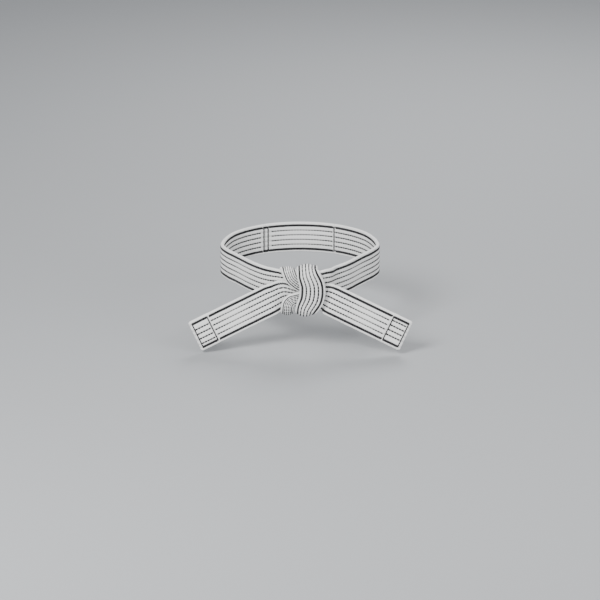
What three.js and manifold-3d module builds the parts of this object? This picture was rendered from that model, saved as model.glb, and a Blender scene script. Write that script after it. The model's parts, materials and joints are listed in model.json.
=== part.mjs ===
// A quilted cotton martial arts belt, tied round the waist with a reef knot. Millimetres.
// -Y points forwards through the knot and +Z is up. Left and right in the names are as seen from
// the front, so left is -X, the wearer's right. The origin is the middle of the waist loop, half
// way up the belt.

import * as THREE from "three";
import { mergeVertices } from "three/addons/utils/BufferGeometryUtils.js";
import Module from "manifold-3d";

const wasm = await Module();
wasm.setup();

// The belt's section.
const beltWidth = 45;
const coverWall = 0.9;
const paddingThickness = 0.55;
const canvasThickness = 0.7;
const plyGap = 0.3; // between one layer and the next
const plyInset = 0.6; // from the cover's folded edge to the edge of a ply
const knotCoreThickness = 1.8; // the three plies pressed together inside the knot
const innerThickness = 2 * paddingThickness + canvasThickness + 4 * plyGap;
const beltThickness = innerThickness + 2 * coverWall;
const paddingOffset = canvasThickness / 2 + plyGap + paddingThickness / 2;

// The lengthwise stitching.
const rowCount = 6;
const edgeRowInset = 4.8; // from the belt's edge to the middle of the outermost row
const edgeRowWidth = 3;
const innerRowWidth = 1.5;
const threadThickness = 0.5;
const crossRowLength = 1.4;
const crossRowThickness = 0.49; // a little under the rows, so that no two faces coincide
const knotCrossSpan = 0.12; // length of a cross row inside the knot, in stations

// The waist loop, seen from above. The sides lean in to the knot in a rounded V.
const loopHalfWidth = 110.4;
const loopBackDepth = 104;
const spliceAngle = THREE.MathUtils.degToRad(27); // from the middle of the back to each panel joint
const spliceGap = 0.6;
const leftSeamHalfWidth = 4.2;

// The knot. Its strands lie in six layers from front to back. Its flat layout is given for a belt
// as wide as drawnWidth and grows with the belt's width.
const knotCentre = new THREE.Vector3(2, -120, -6);
const drawnWidth = 45;
const knotScale = beltWidth / drawnWidth;
const strandClearance = 1.2;
const layerPitch = beltThickness + strandClearance;
const outerLayer = 2.58 * layerPitch; // the wrap and the back turn stand a little further out
const wrapLayer = -outerLayer;
const rightTailLayer = -1.5 * layerPitch;
const rightStandingLayer = -0.5 * layerPitch;
const leftTailLayer = 0.5 * layerPitch;
const leftStandingLayer = 1.5 * layerPitch;
const backTurnLayer = outerLayer;
const wrapTopX = 8.5; // middle of the left half's wrap, which bows out to the right
const wrapMiddleX = 14.5;
const wrapBottomX = 5;
const backTurnTopX = -19; // middle of the right half's turn
const backTurnBottomX = -19.5;
const strandHeight = 8.5; // how far each strand lies above or below the knot's middle
const wrapTurn = 17; // radius of the left half's flat turns
const lowerTurn = 11.5; // radius of the right half's lower turn
const lowerLevel = 12; // how far below the knot's middle it ends
const lowerBase = lowerLevel + lowerTurn; // height of the right half's lower and upper bends
const upperBase = 20;
const bendRise = 8.5; // height of the bends over the top and bottom
const bunched = 0.62; // width of the bunched belt inside the knot, as a share of its flat width

// The two tails.
const tailHinge = 56; // from the knot to the middle of the tail, where it bends again
const tailLengths = { left: 115, right: 113 };
const tailDirections = {
  left: new THREE.Vector3(-0.897, -0.17, -0.408),
  right: new THREE.Vector3(0.899, -0.15, -0.408),
};
// Where each tail leaves the knot, from the knot's centre.
const tailExits = {
  left: new THREE.Vector3(-45, 0.6, -17),
  right: new THREE.Vector3(43.5, -9.2, -14.6),
};
const tailNormal = new THREE.Vector3(0, -0.985, 0.17);
const bendGap = 2.2; // from a bend's axis to the covers on each side of it
const noseGap = 0.3; // between the two canvas noses at a bend
const hemLength = 28;
const hemWall = 0.7;
const hemRowShift = 2; // the hem's rows are a little out of line with the belt's

const knotSteps = 2; // steps in each span between two stations
const gatherSteps = 4; // in the span on each side of the knot
const waistSteps = 2;

const cotton = { color: 0xe1e1de, roughness: 0.85, metalness: 0 };
const wadding = { color: 0xd8d4c8, roughness: 0.95, metalness: 0 };
const canvasCloth = { color: 0xc9c2ae, roughness: 0.9, metalness: 0 };
const darkThread = { color: 0x242424, roughness: 0.7, metalness: 0 };

const belt = new THREE.Group();

function addPiece(name, geometry, look) {
  const mesh = new THREE.Mesh(geometry, new THREE.MeshStandardMaterial(look));
  mesh.name = name;
  belt.add(mesh);
}

// A station is a point on the middle line of the belt, the direction that its outer face looks in
// there, and the width of the belt as a share of its flat width.
function station(x, y, z, normal, share = 1) {
  return { point: new THREE.Vector3(x, y, z), normal: new THREE.Vector3(...normal), share };
}

function knotStation(x, y, z, normal, share) {
  const made = station(x * knotScale, y, z * knotScale, normal, share);
  made.point.add(knotCentre);
  return made;
}

const front = [0, -1, 0];
const back = [0, 1, 0];
const up = [0, 0, 1];
const down = [0, 0, -1];

function tailExit(side) {
  const { x, y, z } = tailExits[side];
  return new THREE.Vector3(x * knotScale, y, z * knotScale).add(knotCentre);
}

// The station where a tail leaves the knot, between two that line the route up with the tail.
function exitStations(side) {
  const reach = 9;
  const [beyond, exit, within] = [reach, 0, -reach].map((x) => {
    const place = tailExit(side).addScaledVector(tailDirections[side], x);
    return station(place.x, place.y, place.z, tailNormal.toArray());
  });
  within.normal.set(0, -1, 0.1);
  within.share = 0.86;
  return [beyond, exit, within];
}

// A flat quarter turn of a strand inside one layer, between level and upright, in 30 degree steps.
// It ends upright at x, and starts level on the side that toMiddle points to.
function quarterTurn(x, y, radius, toMiddle, vertical, share, level = strandHeight) {
  const made = [];
  for (let i = 0; i <= 3; i += 1) {
    const angle = (Math.PI / 6) * i;
    const across = x + toMiddle * radius * (1 - Math.sin(angle));
    const height = level + radius * (1 - Math.cos(angle));
    made.push(knotStation(across, y, vertical * height, front, share));
  }
  return made;
}

// Half way round the top or the bottom of the knot, from one layer to another, without its ends.
// facing is 1 where the belt's outer face looks away from the knot and -1 where it looks inwards.
function endBend(x, fromLayer, toLayer, base, rise, vertical, facing, share, drift = 0) {
  const middle = (fromLayer + toLayer) / 2;
  const reach = (fromLayer - toLayer) / 2;
  return [45, 90, 135].map((degrees) => {
    const angle = THREE.MathUtils.degToRad(degrees);
    const y = middle + reach * Math.cos(angle);
    const z = vertical * (base + rise * Math.sin(angle));
    const outwards = [0, Math.sign(reach) * Math.cos(angle), vertical * Math.sin(angle)];
    const across = x + drift * (degrees / 90 - 1);
    return knotStation(across, y, z, outwards.map((value) => value * facing), share);
  });
}

// From the left tail, under the bottom of the knot, up its front as the wrap, and over the top.
function leftKnotStations() {
  const base = strandHeight + wrapTurn;
  const lower = quarterTurn(wrapBottomX, leftTailLayer, wrapTurn, -1, -1, bunched);
  const upper = quarterTurn(wrapTopX, leftStandingLayer, wrapTurn, -1, 1, bunched);
  return [
    ...exitStations("left"),
    knotStation(-25, leftTailLayer, -9.4, [0, -1, 0.04], 0.7),
    ...lower,
    ...endBend(wrapBottomX, leftTailLayer, wrapLayer, base, bendRise + 1, -1, -1, 0.62),
    knotStation(wrapBottomX + 1.5, wrapLayer, -base, back, 0.68),
    knotStation(wrapMiddleX - 0.5, wrapLayer - 1, -9, back, 0.8),
    knotStation(wrapMiddleX + 0.5, wrapLayer - 1, 9, back, 0.8),
    knotStation(wrapTopX + 1.5, wrapLayer, base, back, 0.68),
    ...endBend(wrapTopX, wrapLayer, leftStandingLayer, base, bendRise, 1, -1, 0.62),
    ...upper.reverse(),
    knotStation(-19, leftStandingLayer, 5.5, front, 0.6),
    knotStation(-31, leftStandingLayer + 0.8, 3, [-0.15, -1, 0], 0.76),
  ];
}

// From the right side of the waist, over the top left of the knot, down its back, under the bottom
// and out to the right tail.
function rightKnotStations() {
  const [topX, bottomX] = [backTurnTopX, backTurnBottomX];
  const lower = quarterTurn(bottomX, rightTailLayer, lowerTurn, 1, -1, 0.4, lowerLevel);
  return [
    knotStation(34, rightStandingLayer + 3.5, 4, [0.15, -1, 0], 0.82),
    knotStation(19, rightStandingLayer, 4.5, front, 0.64),
    knotStation(8, rightStandingLayer, 4, front, 0.54),
    knotStation(-0.5, rightStandingLayer, 7, front, 0.48),
    knotStation(-8, rightStandingLayer, 12, front, 0.46),
    knotStation(-13.6, rightStandingLayer, 17.4, front, 0.44),
    ...endBend(topX, rightStandingLayer, backTurnLayer, upperBase, 7, 1, 1, 0.44, -2),
    knotStation(topX - 1.8, backTurnLayer, upperBase, back, 0.5),
    knotStation(topX - 1.6, backTurnLayer + 2, 7, back, 0.6),
    knotStation(bottomX, backTurnLayer + 2, -8, back, 0.62),
    knotStation(bottomX, backTurnLayer, -lowerBase, back, 0.5),
    ...endBend(bottomX, backTurnLayer, rightTailLayer, lowerBase, bendRise + 4, -1, 1, 0.42),
    ...lower.reverse(),
    knotStation(4, rightTailLayer, -11, front, 0.5),
    knotStation(16, rightTailLayer, -9.6, front, 0.6),
    knotStation(28, rightTailLayer + 0.6, -9.4, [0, -1, 0.06], 0.72),
    ...exitStations("right").reverse(),
  ];
}

// One side of the waist from the knot to the widest point. side is -1 on the left, 1 on the right.
// The first two shares say how far each place lies from the knot's edge to the widest point, and
// how far it lies from the middle of the loop to the knot.
function sideStations(side) {
  const knotEdge = 36 * knotScale;
  const places = [
    [0.175, 0.817, -2, [side * 0.6, -0.8, 0]],
    [0.403, 0.675, -1, [side * 0.75, -0.65, 0]],
    [0.685, 0.417, 0, [side * 0.85, -0.5, 0]],
    [0.9, 0.2, 0, [side * 0.9, -0.4, 0]],
  ];
  return places.map(([across, forward, height, normal]) => {
    const x = knotEdge + across * (loopHalfWidth - knotEdge);
    return station(side * x, forward * knotCentre.y, height, normal);
  });
}

const backSpans = 6;

function backStations() {
  const made = [];
  for (let i = 0; i <= backSpans; i += 1) {
    const angle = Math.PI * (i / backSpans - 0.5);
    const across = Math.sin(angle);
    const along = Math.cos(angle);
    made.push(station(loopHalfWidth * across, loopBackDepth * along, 0, [across, along, 0]));
  }
  return made;
}

const leftKnot = leftKnotStations();
const leftSide = sideStations(-1).concat(backStations());
const stations = leftKnot.concat(leftSide, sideStations(1).reverse(), rightKnotStations());

// Places on the route, counted in stations from the left tail. The first and last spans lie beyond
// the knot and only set the direction in which the belt leaves it.
const leftExit = 1;
const rightExit = stations.length - 2;
const knotEnd = leftKnot.length - 1;
const backStart = leftKnot.length + 4;
const backMiddle = backStart + backSpans / 2;
const spliceAt = spliceAngle / (Math.PI / backSpans);
const leftSplice = backMiddle - spliceAt;
const rightSplice = backMiddle + spliceAt;
const rightKnotStart = leftKnot.length + leftSide.length + 4;
const flatStart = knotEnd + 1; // between these two the belt lies flat round the waist
const flatEnd = rightKnotStart - 1;
const lastStation = stations.length - 1;
const wrapStart = 10.5; // the part of the left half that shows on the front as the wrap
const wrapEnd = 14;
const crossingStart = rightKnotStart + 2.5; // the part of the right half that shows at the top left
const crossingEnd = rightKnotStart + 5;
const mmToBack = 1 / ((loopHalfWidth * Math.PI) / backSpans); // stations per mm round the back

// The belt's middle line and the frames that carry its section. Each frame's first axis lies across
// the belt, scaled by its width there, and its second is the direction of its outer face.
function frameOn(curve, normals, shares, at) {
  const t = at / lastStation;
  const tangent = curve.getTangent(t);
  const face = normals.getPoint(t);
  face.addScaledVector(tangent, -face.dot(tangent)).normalize();
  const across = new THREE.Vector3().crossVectors(face, tangent);
  across.multiplyScalar(shares.getPoint(t).x);
  return { point: curve.getPoint(t), tangent, across, face };
}

function makeRouteFrames() {
  const curve = new THREE.CatmullRomCurve3(stations.map((s) => s.point), false, "centripetal");
  const normals = new THREE.CatmullRomCurve3(stations.map((s) => s.normal), false, "catmullrom");
  const widths = stations.map((s) => new THREE.Vector3(s.share, 0, 0));
  const shares = new THREE.CatmullRomCurve3(widths, false, "catmullrom");
  return routePlaces.map((at) => frameOn(curve, normals, shares, at));
}

function stepsIn(span) {
  if (span < knotEnd || span >= rightKnotStart) return knotSteps;
  return span === knotEnd || span === rightKnotStart - 1 ? gatherSteps : waistSteps;
}

function makeRoutePlaces() {
  const places = [];
  for (let span = 0; span < lastStation; span += 1) {
    const steps = stepsIn(span);
    for (let i = 0; i < steps; i += 1) places.push(span + i / steps);
  }
  places.push(lastStation);
  return places;
}

const routePlaces = makeRoutePlaces();
const routeFrames = makeRouteFrames();

// The frame at any place on the route, between the two nearest steps.
function routeFrame(at) {
  const second = Math.max(routePlaces.findIndex((place) => place >= at), 1);
  const [low, high] = [routePlaces[second - 1], routePlaces[second]];
  const share = (at - low) / (high - low);
  const a = routeFrames[second - 1];
  const b = routeFrames[second];
  return {
    point: a.point.clone().lerp(b.point, share),
    tangent: a.tangent.clone().lerp(b.tangent, share),
    across: a.across.clone().lerp(b.across, share),
    face: a.face.clone().lerp(b.face, share),
  };
}

// A path for ExtrudeGeometry that carries its own frames.
class FramedPath extends THREE.Curve {
  constructor(frames) {
    super();
    this.frames = frames;
  }

  getSpacedPoints() {
    return this.frames.map((f) => f.point);
  }

  computeFrenetFrames() {
    return {
      tangents: this.frames.map((f) => f.tangent),
      normals: this.frames.map((f) => f.across),
      binormals: this.frames.map((f) => f.face),
    };
  }
}

function sweep(shape, frames) {
  const options = { steps: frames.length - 1, extrudePath: new FramedPath(frames) };
  return new THREE.ExtrudeGeometry(shape, options);
}

// The route between two places, with the same steps as every other layer.
function stretch(from, to) {
  const least = 0.001;
  const inside = routeFrames.filter((_, i) => {
    return routePlaces[i] > from + least && routePlaces[i] < to - least;
  });
  return [routeFrame(from), ...inside, routeFrame(to)];
}

function rectangle(width, height, x = 0, y = 0) {
  return new THREE.Shape([
    new THREE.Vector2(x - width / 2, y - height / 2),
    new THREE.Vector2(x + width / 2, y - height / 2),
    new THREE.Vector2(x + width / 2, y + height / 2),
    new THREE.Vector2(x - width / 2, y + height / 2),
  ]);
}

// The same frames with one more at each end, a little further out.
function lengthened(frames) {
  const overhang = 1; // mm past each end
  const [first, last] = [frames[0], frames[frames.length - 1]];
  const start = { ...first, point: first.point.clone().addScaledVector(first.tangent, -overhang) };
  const end = { ...last, point: last.point.clone().addScaledVector(last.tangent, overhang) };
  return [start, ...frames, end];
}

// The cover is a sleeve, open at both ends.
function sleeve(frames) {
  const hollow = rectangle(beltWidth - 2 * coverWall, innerThickness);
  const outside = toSolid(sweep(rectangle(beltWidth, beltThickness), frames));
  return toGeometry(outside.subtract(toSolid(sweep(hollow, lengthened(frames)))));
}

const plyWidth = beltWidth - 2 * (coverWall + plyInset);
const outerPaddingSection = () => rectangle(plyWidth, paddingThickness, 0, paddingOffset);
const innerPaddingSection = () => rectangle(plyWidth, paddingThickness, 0, -paddingOffset);
const canvasSection = () => rectangle(plyWidth, canvasThickness);

const threadOffset = beltThickness / 2 + plyGap + threadThickness / 2;
const rowSpan = beltWidth - 2 * edgeRowInset;
const rowPitch = rowSpan / (rowCount - 1);

function rowPlaces() {
  const places = [];
  for (let i = 0; i < rowCount; i += 1) {
    const isEdge = i === 0 || i === rowCount - 1;
    places.push({ x: i * rowPitch - rowSpan / 2, width: isEdge ? edgeRowWidth : innerRowWidth });
  }
  return places;
}

function toSolid(geometry) {
  const bare = geometry.clone();
  bare.deleteAttribute("normal");
  bare.deleteAttribute("uv");
  const merged = mergeVertices(bare, 1e-4);
  const source = {
    numProp: 3,
    vertProperties: new Float32Array(merged.attributes.position.array),
    triVerts: new Uint32Array(merged.index.array),
  };
  return new wasm.Manifold(new wasm.Mesh(source));
}

function toGeometry(solid) {
  const made = solid.getMesh();
  const geometry = new THREE.BufferGeometry();
  geometry.setAttribute("position", new THREE.BufferAttribute(made.vertProperties, 3));
  geometry.setIndex(new THREE.BufferAttribute(made.triVerts, 1));
  return geometry;
}

function join(geometries) {
  return toGeometry(geometries.map(toSolid).reduce((a, b) => a.add(b)));
}

// The rows of one face along a stretch, tied together by a cross row at each end. face is 1 for
// the outer face and -1 for the inner face.
function stitching(from, to, face, crossSpan) {
  const y = face * threadOffset;
  const rows = rowPlaces().map((row) => {
    return sweep(rectangle(row.width, threadThickness, row.x, y), stretch(from, to));
  });
  const cross = rectangle(rowSpan, crossRowThickness, 0, y);
  rows.push(sweep(cross, stretch(from, from + crossSpan)));
  rows.push(sweep(cross, stretch(to - crossSpan, to)));
  return join(rows);
}

// How far along the route a length in mm reaches, near a place on it.
function spanOf(length, at) {
  const step = 0.5;
  const reach = routeFrame(at + step).point.distanceTo(routeFrame(at).point);
  return (length * step) / reach;
}

const leftStart = leftExit + spanOf(bendGap, leftExit);
const rightEnd = rightExit - spanOf(bendGap, rightExit - 0.5);

function addWaistCovers() {
  const half = (spliceGap / 2) * mmToBack;
  const panels = {
    left: [leftStart, leftSplice - half],
    back: [leftSplice + half, rightSplice - half],
    right: [rightSplice + half, rightEnd],
  };
  for (const [name, [from, to]] of Object.entries(panels)) {
    addPiece(`${name}_waist_cover`, sleeve(stretch(from, to)), cotton);
  }
}

// Round the waist the core is three plies. Inside the knot they are pressed into one thickness.
function addWaistCore() {
  const noseReach = noseGap / 2 + canvasThickness / 2;
  const noseStart = leftExit + spanOf(noseReach, leftExit);
  const noseEnd = rightExit - spanOf(noseReach, rightExit - 0.5);
  const gap = spanOf(plyGap, flatStart);
  const waist = stretch(flatStart + gap, flatEnd - gap);
  addPiece("waist_outer_padding", sweep(outerPaddingSection(), waist), wadding);
  addPiece("waist_canvas", sweep(canvasSection(), waist), canvasCloth);
  addPiece("waist_inner_padding", sweep(innerPaddingSection(), waist), wadding);
  const pressed = rectangle(plyWidth, knotCoreThickness);
  addPiece("left_knot_core", knotCore(pressed, leftStart, flatStart, noseStart, 1), canvasCloth);
  addPiece("right_knot_core", knotCore(pressed, flatEnd, rightEnd, noseEnd, -1), canvasCloth);
}

const lipOverlap = 0.2; // how far the canvas lip reaches into the pressed core, in stations

// The pressed core, with the canvas reaching on from it to the bend at the knot's edge.
function knotCore(pressed, from, to, noseAt, side) {
  const inward = side > 0 ? from : to;
  const into = side > 0 ? lipOverlap : 0;
  const lip = stretch(Math.min(noseAt, inward), Math.max(noseAt, inward) + into);
  return join([sweep(pressed, stretch(from, to)), sweep(canvasSection(), lip)]);
}

// Along the waist the rows stop at the panel joints and where the belt goes into the knot.
function addWaistStitching() {
  const cross = crossRowLength * mmToBack;
  const seam = (leftSeamHalfWidth + crossRowLength) * mmToBack;
  const spans = {
    left: [flatStart, leftSplice - seam],
    back: [leftSplice + seam, rightSplice - seam],
    right: [rightSplice + seam, flatEnd],
  };
  for (const [name, [from, to]] of Object.entries(spans)) {
    addPiece(`${name}_waist_needle_thread`, stitching(from, to, 1, cross), darkThread);
    addPiece(`${name}_waist_bobbin_thread`, stitching(from, to, -1, cross), darkThread);
  }
}

// In the knot the rows are made where they show: on the wrap, which shows the belt's inner face,
// and on the strand that crosses the top left, which shows its outer face.
function addKnotStitching() {
  const wrap = stitching(wrapStart, wrapEnd, -1, knotCrossSpan);
  addPiece("left_knot_bobbin_thread", wrap, darkThread);
  const crossing = stitching(crossingStart, crossingEnd, 1, knotCrossSpan);
  addPiece("right_knot_needle_thread", crossing, darkThread);
}

// Each panel joint is closed by cross rows over both panels: a pair on the left, one on the right.
function addSpliceSeams() {
  const y = -threadOffset;
  const bar = rectangle(rowSpan, crossRowThickness, 0, y);
  const half = (crossRowLength / 2) * mmToBack;
  const reach = (leftSeamHalfWidth - crossRowLength) * mmToBack;
  const ends = rectangle(edgeRowWidth, threadThickness, rowSpan / 2, y);
  const pair = join([
    sweep(bar, stretch(leftSplice - reach - half, leftSplice - reach + half)),
    sweep(bar, stretch(leftSplice + reach - half, leftSplice + reach + half)),
    sweep(ends, stretch(leftSplice - reach - half, leftSplice + reach + half)),
  ]);
  addPiece("left_splice_seam_thread", pair, darkThread);
  const single = sweep(bar, stretch(rightSplice - half, rightSplice + half));
  addPiece("right_splice_seam_thread", single, darkThread);
}

// A tail is straight at rest. Its frame has the length outwards along X, the width along Y and the
// outer face along Z.
function tailMatrix(side) {
  const along = tailDirections[side].clone().normalize();
  const face = tailNormal.clone();
  face.addScaledVector(along, -face.dot(along)).normalize();
  const across = new THREE.Vector3().crossVectors(face, along);
  const matrix = new THREE.Matrix4().makeBasis(along, across, face);
  return matrix.setPosition(tailExit(side));
}

function straightFrames(from, to) {
  return [from, to].map((x) => ({
    point: new THREE.Vector3(x, 0, 0),
    tangent: new THREE.Vector3(1, 0, 0),
    across: new THREE.Vector3(0, 1, 0),
    face: new THREE.Vector3(0, 0, 1),
  }));
}

// A ply whose ends are round noses where the belt bends. An end without a nose is square.
function canvasStrip(from, to, noseAtEnd) {
  const radius = canvasThickness / 2;
  const outline = new THREE.Shape();
  outline.moveTo(from + radius, -radius);
  if (noseAtEnd) {
    outline.lineTo(to - radius, -radius);
    outline.absarc(to - radius, 0, radius, -Math.PI / 2, Math.PI / 2, false);
  } else {
    outline.lineTo(to, -radius);
    outline.lineTo(to, radius);
  }
  outline.lineTo(from + radius, radius);
  outline.absarc(from + radius, 0, radius, Math.PI / 2, Math.PI * 1.5, false);
  const geometry = new THREE.ExtrudeGeometry(outline, {
    depth: plyWidth,
    bevelEnabled: false,
    curveSegments: 4,
  });
  geometry.translate(0, 0, -plyWidth / 2);
  return geometry.rotateX(-Math.PI / 2);
}

// The rows of one face of a straight length, tied by a cross row at each end.
function ladder(from, to, places, face, lift) {
  const outline = rectangle(to - from, rowSpan + edgeRowWidth, (from + to) / 2, 0);
  const length = to - from - 2 * crossRowLength;
  for (let i = 0; i + 1 < places.length; i += 1) {
    const low = places[i].x + places[i].width / 2;
    const high = places[i + 1].x - places[i + 1].width / 2;
    outline.holes.push(rectangle(length, high - low, (from + to) / 2, (low + high) / 2));
  }
  const geometry = new THREE.ExtrudeGeometry(outline, {
    depth: threadThickness,
    bevelEnabled: false,
  });
  const bottom = face > 0 ? lift : -lift - threadThickness;
  return geometry.translate(0, 0, bottom);
}

const threadSeat = beltThickness / 2 + plyGap;

function addStraight(name, matrix, geometry, look) {
  addPiece(name, geometry.applyMatrix4(matrix), look);
}

// One rigid length of tail: the cover, its three plies and the stitching on both faces.
function addTailLength(name, matrix, from, to, endsAtBend) {
  const coverEnd = endsAtBend ? to - bendGap : to;
  const plyEnd = endsAtBend ? coverEnd : to - coverWall;
  const frames = straightFrames(from + bendGap, coverEnd);
  const plyFrames = straightFrames(from + bendGap, plyEnd);
  addStraight(`${name}_cover`, matrix, sleeve(frames), cotton);
  addStraight(`${name}_outer_padding`, matrix, sweep(outerPaddingSection(), plyFrames), wadding);
  addStraight(`${name}_inner_padding`, matrix, sweep(innerPaddingSection(), plyFrames), wadding);
  const canvasEnd = endsAtBend ? to - noseGap / 2 : plyEnd;
  const canvas = canvasStrip(from + noseGap / 2, canvasEnd, endsAtBend);
  addStraight(`${name}_canvas`, matrix, canvas, canvasCloth);
}

function addTailStitching(name, matrix, from, to) {
  const places = rowPlaces();
  const needle = ladder(from, to, places, 1, threadSeat);
  const bobbin = ladder(from, to, places, -1, threadSeat);
  addStraight(`${name}_needle_thread`, matrix, needle, darkThread);
  addStraight(`${name}_bobbin_thread`, matrix, bobbin, darkThread);
}

// The end of the belt is closed by a strip of cover cloth folded over it.
function hemFold(to) {
  const inside = beltThickness / 2 + plyGap;
  const outside = inside + hemWall;
  const end = to + plyGap;
  const start = to - hemLength;
  const profile = new THREE.Shape([
    new THREE.Vector2(start, -outside),
    new THREE.Vector2(end + hemWall, -outside),
    new THREE.Vector2(end + hemWall, outside),
    new THREE.Vector2(start, outside),
    new THREE.Vector2(start, inside),
    new THREE.Vector2(end, inside),
    new THREE.Vector2(end, -inside),
    new THREE.Vector2(start, -inside),
  ]);
  const geometry = new THREE.ExtrudeGeometry(profile, { depth: beltWidth, bevelEnabled: false });
  geometry.translate(0, 0, -beltWidth / 2);
  return geometry.rotateX(-Math.PI / 2);
}

function addHem(side, matrix, to) {
  addStraight(`${side}_hem`, matrix, hemFold(to), cotton);
  const lift = threadSeat + hemWall + plyGap;
  const places = rowPlaces().map((row, i) => {
    const isEdge = i === 0 || i === rowCount - 1;
    return { x: isEdge ? row.x : row.x + hemRowShift, width: row.width };
  });
  const from = to - hemLength + crossRowLength;
  const needle = ladder(from, to - crossRowLength, places, 1, lift);
  const bobbin = ladder(from, to - crossRowLength, places, -1, lift);
  addStraight(`${side}_hem_needle_thread`, matrix, needle, darkThread);
  addStraight(`${side}_hem_bobbin_thread`, matrix, bobbin, darkThread);
}

function addTail(side) {
  const matrix = tailMatrix(side);
  const end = tailLengths[side];
  const hemStart = end - hemLength;
  addTailLength(`${side}_tail`, matrix, 0, tailHinge, true);
  addTailStitching(`${side}_tail`, matrix, bendGap, tailHinge - bendGap);
  addTailLength(`${side}_tip`, matrix, tailHinge, end, false);
  addTailStitching(`${side}_tip`, matrix, tailHinge + bendGap, hemStart - plyGap);
  addHem(side, matrix, end);
}

addWaistCovers();
addWaistCore();
addWaistStitching();
addKnotStitching();
addSpliceSeams();
addTail("left");
addTail("right");

export default belt;
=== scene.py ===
"""The looks of a quilted martial arts belt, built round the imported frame. Lengths are in mm until
a mesh is made, and in metres from there on. Left and right are as seen from the front. A place on
the belt is s along it, from where the left tail leaves the knot, and u across it. Side 1 is the
belt's outer face and side -1 its inner face."""

import json
import math

import bpy
import numpy as np
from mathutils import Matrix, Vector


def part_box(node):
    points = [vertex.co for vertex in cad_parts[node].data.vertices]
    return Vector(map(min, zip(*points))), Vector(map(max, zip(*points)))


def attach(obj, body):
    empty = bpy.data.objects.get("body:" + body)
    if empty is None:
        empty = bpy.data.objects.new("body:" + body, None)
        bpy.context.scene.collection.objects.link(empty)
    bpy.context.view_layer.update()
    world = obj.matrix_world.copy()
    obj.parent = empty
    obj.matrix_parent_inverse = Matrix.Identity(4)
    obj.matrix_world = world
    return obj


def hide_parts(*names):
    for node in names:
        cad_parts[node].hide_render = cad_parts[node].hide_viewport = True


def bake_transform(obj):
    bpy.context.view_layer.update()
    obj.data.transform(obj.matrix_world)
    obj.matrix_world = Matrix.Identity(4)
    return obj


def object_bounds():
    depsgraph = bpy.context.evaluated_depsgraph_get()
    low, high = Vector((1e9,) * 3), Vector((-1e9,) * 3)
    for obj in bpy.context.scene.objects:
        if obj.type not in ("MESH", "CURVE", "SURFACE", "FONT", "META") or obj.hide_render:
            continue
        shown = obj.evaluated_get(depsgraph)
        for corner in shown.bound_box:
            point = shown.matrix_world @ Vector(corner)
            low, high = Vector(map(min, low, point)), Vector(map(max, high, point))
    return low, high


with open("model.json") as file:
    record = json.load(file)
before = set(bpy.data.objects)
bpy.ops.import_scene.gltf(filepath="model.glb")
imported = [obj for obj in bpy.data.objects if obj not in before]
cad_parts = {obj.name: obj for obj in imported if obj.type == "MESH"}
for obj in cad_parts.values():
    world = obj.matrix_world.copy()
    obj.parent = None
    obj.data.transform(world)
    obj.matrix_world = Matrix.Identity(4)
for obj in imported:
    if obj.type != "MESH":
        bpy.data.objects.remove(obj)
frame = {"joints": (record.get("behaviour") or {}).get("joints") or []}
cad_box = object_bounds()

MM = 0.001
SIDES = ("left", "right")

# ---------------------------------------------------------------- what the frame says

hinges = {joint["name"]: joint for joint in frame["joints"]}


def hinge_point(name):
    """The hinge's place in mm."""
    return np.array(hinges[name]["pos_m"], float) / MM


EXIT = {side: hinge_point(f"{side}_tail_flex") for side in SIDES}
TIP_HINGE = {side: hinge_point(f"{side}_tip_flex") for side in SIDES}
HINGE_REACH = {side: float(np.linalg.norm(TIP_HINGE[side] - EXIT[side])) for side in SIDES}
TAIL_DIRECTION = {side: (TIP_HINGE[side] - EXIT[side]) / HINGE_REACH[side] for side in SIDES}
TAIL_LENGTH = {"left": 115.0, "right": 113.0}
LEFT_EXIT_FROM_KNOT = np.array([-45.0, 0.6, -17.0])
KNOT = EXIT["left"] - LEFT_EXIT_FROM_KNOT

CANVAS_HALF_THICKNESS = 0.35
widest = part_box("waist_canvas")[1]
LOOP_HALF_WIDTH = widest.x / MM - CANVAS_HALF_THICKNESS
LOOP_BACK_DEPTH = widest.y / MM - CANVAS_HALF_THICKNESS

# ---------------------------------------------------------------- the belt's section and seams

HALF_WIDTH = 22.5
HALF_THICKNESS = 2.4
RIM = 2.1  # radius of the folded edge
FACE_HALF_WIDTH = HALF_WIDTH - RIM
ROWS = np.array([-17.7, -10.62, -3.54, 3.54, 10.62, 17.7])
EDGE_ROWS = (0, 5)
EDGE_REACH = 2.2  # how far the outermost channel reaches past its row, and past the edge
PITCH = 4.2  # of the stitches in the inner rows
EDGE_PITCH = 1.25
HEM_LENGTH = 28.0
HEM_WALL = 0.95
HEM_ROW_SHIFT = 2.0
SPLICE_ANGLE = 27.0  # from the middle of the back
LEFT_SEAM_HALF = 3.4  # half the distance between the two cross rows

# ---------------------------------------------------------------- the belt's route

LAYER = {
    "wrap": -15.48,
    "right_tail": -9.0,
    "right_standing": -3.0,
    "left_tail": 3.0,
    "left_standing": 9.0,
    "back_turn": 15.48,
}
STRAND = 8.5  # how far above or below the knot's middle a strand starts its quarter turn
KNOT_EDGE = 36.0  # where the sides of the loop start
FRONT, BACK = (0, -1, 0), (0, 1, 0)
TAIL_NORMAL = (0, -0.985, 0.17)


def at(x, y, z, normal, share=1.0):
    """A station: its point, the way the outer face looks, and the width as a share."""
    return (np.array([x, y, z], float), np.array(normal, float), share)


def in_knot(x, y, z, normal, share):
    """A station given from the knot's middle."""
    return at(KNOT[0] + x, KNOT[1] + y, KNOT[2] + z, normal, share)


def exit_stations(side):
    """Three stations in line, from the tail into the knot."""
    made = []
    for reach in (9.0, 0.0, -9.0):
        place = EXIT[side] + TAIL_DIRECTION[side] * reach
        inside = reach < 0
        normal = (0, -1, 0.1) if inside else TAIL_NORMAL
        made.append(at(*place, normal, 0.96 if inside else 1.0))
    return made


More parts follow.
